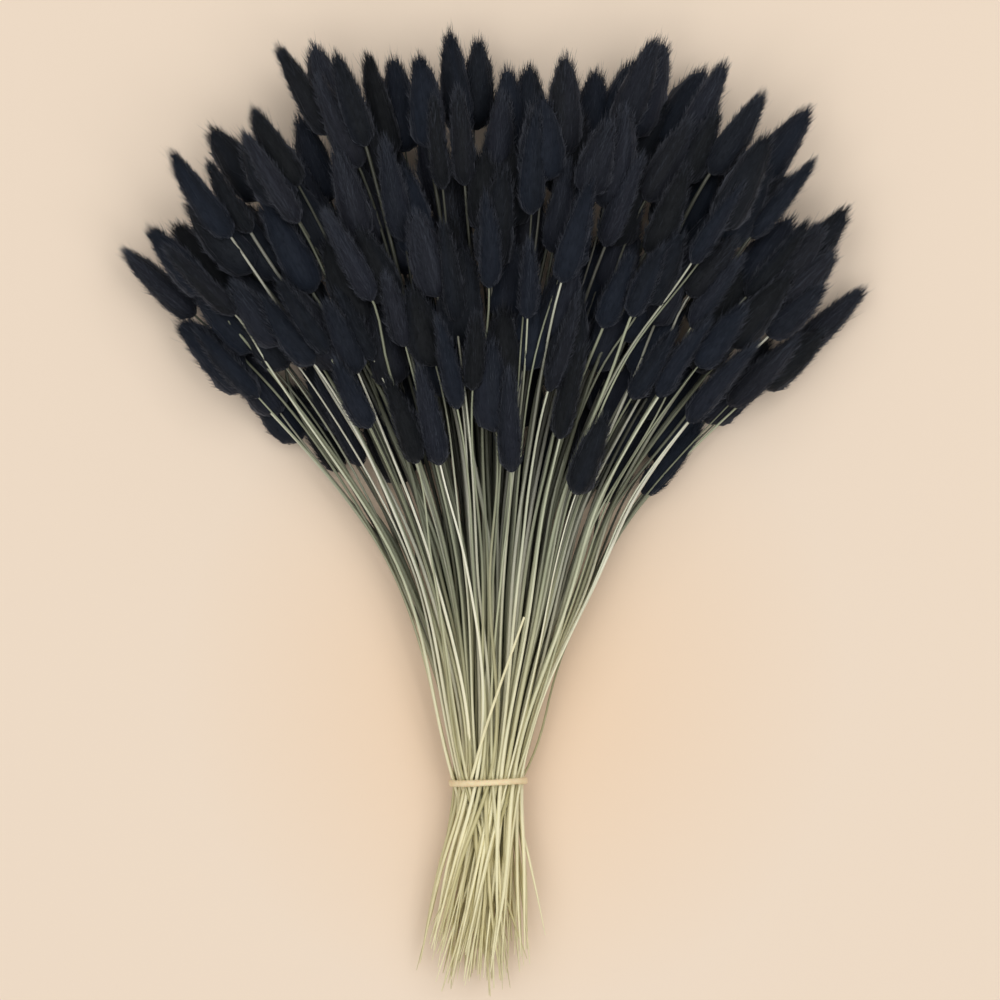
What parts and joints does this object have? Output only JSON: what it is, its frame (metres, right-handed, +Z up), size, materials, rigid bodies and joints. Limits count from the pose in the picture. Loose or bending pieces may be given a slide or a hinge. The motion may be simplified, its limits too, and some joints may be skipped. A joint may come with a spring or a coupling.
{
  "type": "dried bunny tail grass bunch",
  "caption": "Tied bunch of dyed dried bunny tail grass lying flat: a fan of thin stems that carry soft oval heads, held by a rubber band near the cut ends.",
  "frame": {"origin": "under the band, on the flat of the band that touches the surface", "axes": "+Y along the stems from the band towards the heads, +Z up from the surface, +X to the right seen from above with the heads away from the viewer"},
  "size_m": [0.3722, 0.4838, 0.0787],
  "materials": {
    "stems": "dry grass stems, sage green turning to straw towards the cut ends, matt with a faint sheen",
    "heads": "soft downy seed heads dyed blue-black, with fine hairs and a velvet sheen",
    "band": "cream rubber, slightly glossy"
  },
  "bodies": {
    "root": {"band": "band", "heads_01": "heads", "heads_02": "heads", "heads_03": "heads", "heads_04": "heads", "heads_05": "heads", "heads_06": "heads", "heads_07": "heads", "heads_08": "heads", "heads_09": "heads", "heads_10": "heads", "heads_11": "heads", "heads_12": "heads", "heads_13": "heads", "heads_14": "heads", "heads_15": "heads", "heads_16": "heads", "heads_17": "heads", "heads_18": "heads", "heads_19": "heads", "heads_20": "heads", "heads_21": "heads", "heads_22": "heads", "heads_23": "heads", "heads_24": "heads", "heads_25": "heads", "heads_26": "heads", "heads_27": "heads", "heads_28": "heads", "heads_29": "heads", "heads_30": "heads", "heads_31": "heads", "heads_32": "heads", "heads_33": "heads", "heads_34": "heads", "heads_35": "heads", "heads_36": "heads", "heads_37": "heads", "heads_38": "heads", "heads_39": "heads", "heads_40": "heads", "heads_41": "heads", "heads_42": "heads", "heads_43": "heads", "heads_44": "heads", "heads_45": "heads", "heads_46": "heads", "heads_47": "heads", "heads_48": "heads", "heads_49": "heads", "heads_50": "heads", "stems": "stems"}
  },
  "joints": []
}
